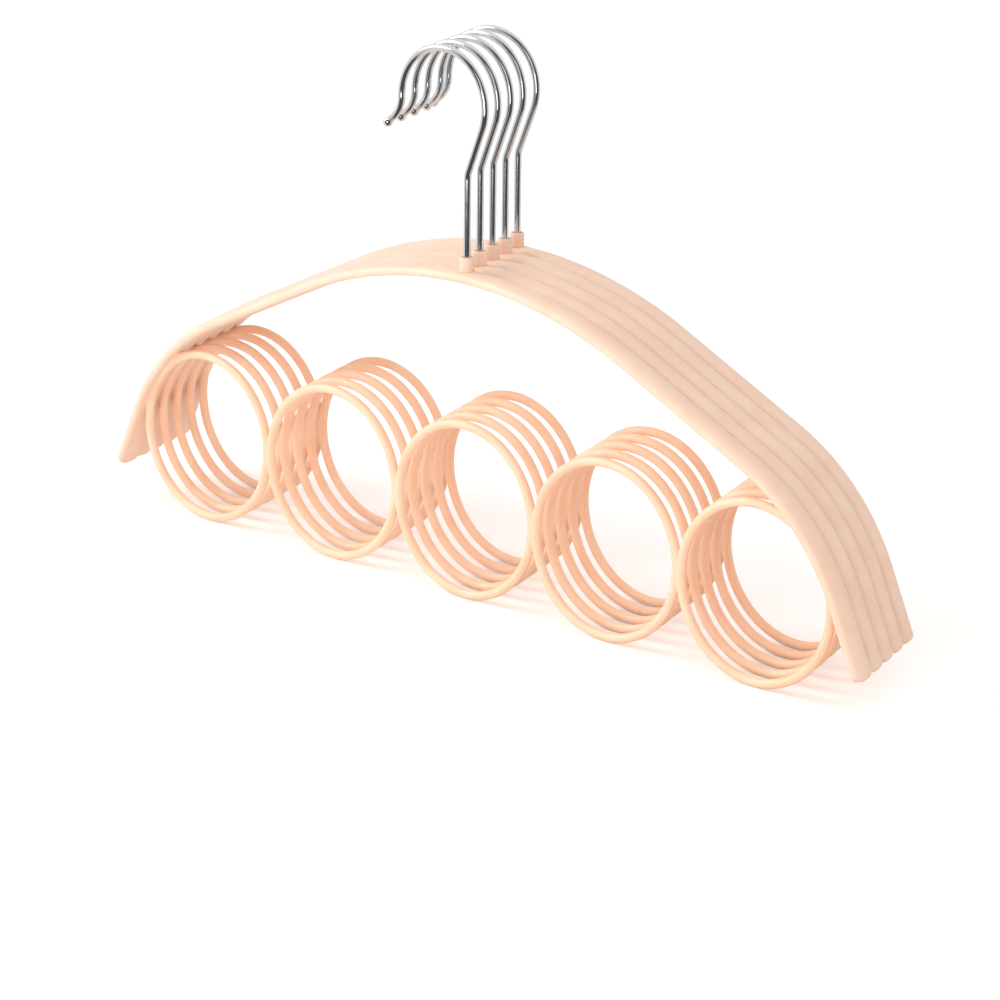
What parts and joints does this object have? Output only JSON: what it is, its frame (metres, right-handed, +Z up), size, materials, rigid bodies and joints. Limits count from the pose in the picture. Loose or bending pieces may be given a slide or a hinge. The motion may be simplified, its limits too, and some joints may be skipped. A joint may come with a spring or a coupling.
{
  "type": "scarf hanger",
  "caption": "Nest of like scarf hangers, each a coated arch over a row of welded coated wire rings, with a swivelling chrome wire hook.",
  "frame": {"origin": "on the floor that the rings stand on, under the middle of the middle hanger", "axes": "+X along the rows of rings, away from the side the hooks open to; +Y through the nest from the front hanger to the rear one; +Z up"},
  "size_m": [0.4134, 0.0546, 0.2254],
  "materials": {
    "coat": "satin, soft non-slip coat",
    "steel": "mill",
    "chrome": "bright plated"
  },
  "bodies": {
    "hanger_1": {"h1_ring_wire_1": "steel", "h1_ring_wire_2": "steel", "h1_ring_wire_3": "steel", "h1_ring_wire_4": "steel", "h1_ring_wire_5": "steel", "h1_spine": "steel", "h1_arch_cover": "coat", "h1_ring_cover": "coat", "h1_collar": "coat", "h1_washer": "steel"},
    "hook_1": {"h1_hook": "chrome"},
    "hanger_2": {"h2_ring_wire_1": "steel", "h2_ring_wire_2": "steel", "h2_ring_wire_3": "steel", "h2_ring_wire_4": "steel", "h2_ring_wire_5": "steel", "h2_spine": "steel", "h2_arch_cover": "coat", "h2_ring_cover": "coat", "h2_collar": "coat", "h2_washer": "steel"},
    "hook_2": {"h2_hook": "chrome"},
    "hanger_3": {"h3_ring_wire_1": "steel", "h3_ring_wire_2": "steel", "h3_ring_wire_3": "steel", "h3_ring_wire_4": "steel", "h3_ring_wire_5": "steel", "h3_spine": "steel", "h3_arch_cover": "coat", "h3_ring_cover": "coat", "h3_collar": "coat", "h3_washer": "steel"},
    "hook_3": {"h3_hook": "chrome"},
    "hanger_4": {"h4_ring_wire_1": "steel", "h4_ring_wire_2": "steel", "h4_ring_wire_3": "steel", "h4_ring_wire_4": "steel", "h4_ring_wire_5": "steel", "h4_spine": "steel", "h4_arch_cover": "coat", "h4_ring_cover": "coat", "h4_collar": "coat", "h4_washer": "steel"},
    "hook_4": {"h4_hook": "chrome"},
    "hanger_5": {"h5_ring_wire_1": "steel", "h5_ring_wire_2": "steel", "h5_ring_wire_3": "steel", "h5_ring_wire_4": "steel", "h5_ring_wire_5": "steel", "h5_spine": "steel", "h5_arch_cover": "coat", "h5_ring_cover": "coat", "h5_collar": "coat", "h5_washer": "steel"},
    "hook_5": {"h5_hook": "chrome"}
  },
  "joints": [
    {"name": "nest_slide_2", "type": "slide", "parent": "hanger_3", "child": "hanger_2", "axis": [0, -1, 0], "range_m": [0, 0.04]},
    {"name": "nest_slide_1", "type": "slide", "parent": "hanger_2", "child": "hanger_1", "axis": [0, -1, 0], "range_m": [0, 0.04]},
    {"name": "nest_slide_4", "type": "slide", "parent": "hanger_3", "child": "hanger_4", "axis": [0, 1, 0], "range_m": [0, 0.04]},
    {"name": "nest_slide_5", "type": "slide", "parent": "hanger_4", "child": "hanger_5", "axis": [0, 1, 0], "range_m": [0, 0.04]},
    {"name": "hook_swivel_1", "type": "hinge", "parent": "hanger_1", "child": "hook_1", "pos_m": [0.006, -0.022, 0.1325], "axis": [0, 0, 1], "range_deg": [-8, 180]},
    {"name": "hook_swivel_2", "type": "hinge", "parent": "hanger_2", "child": "hook_2", "pos_m": [0.003, -0.011, 0.1325], "axis": [0, 0, 1], "range_deg": [-8, 8]},
    {"name": "hook_swivel_3", "type": "hinge", "parent": "hanger_3", "child": "hook_3", "pos_m": [0, 0, 0.1325], "axis": [0, 0, 1], "range_deg": [-8, 8]},
    {"name": "hook_swivel_4", "type": "hinge", "parent": "hanger_4", "child": "hook_4", "pos_m": [-0.003, 0.011, 0.1325], "axis": [0, 0, 1], "range_deg": [-3, 8]},
    {"name": "hook_swivel_5", "type": "hinge", "parent": "hanger_5", "child": "hook_5", "pos_m": [-0.006, 0.022, 0.1325], "axis": [0, 0, 1], "range_deg": [-185, 3]}
  ]
}
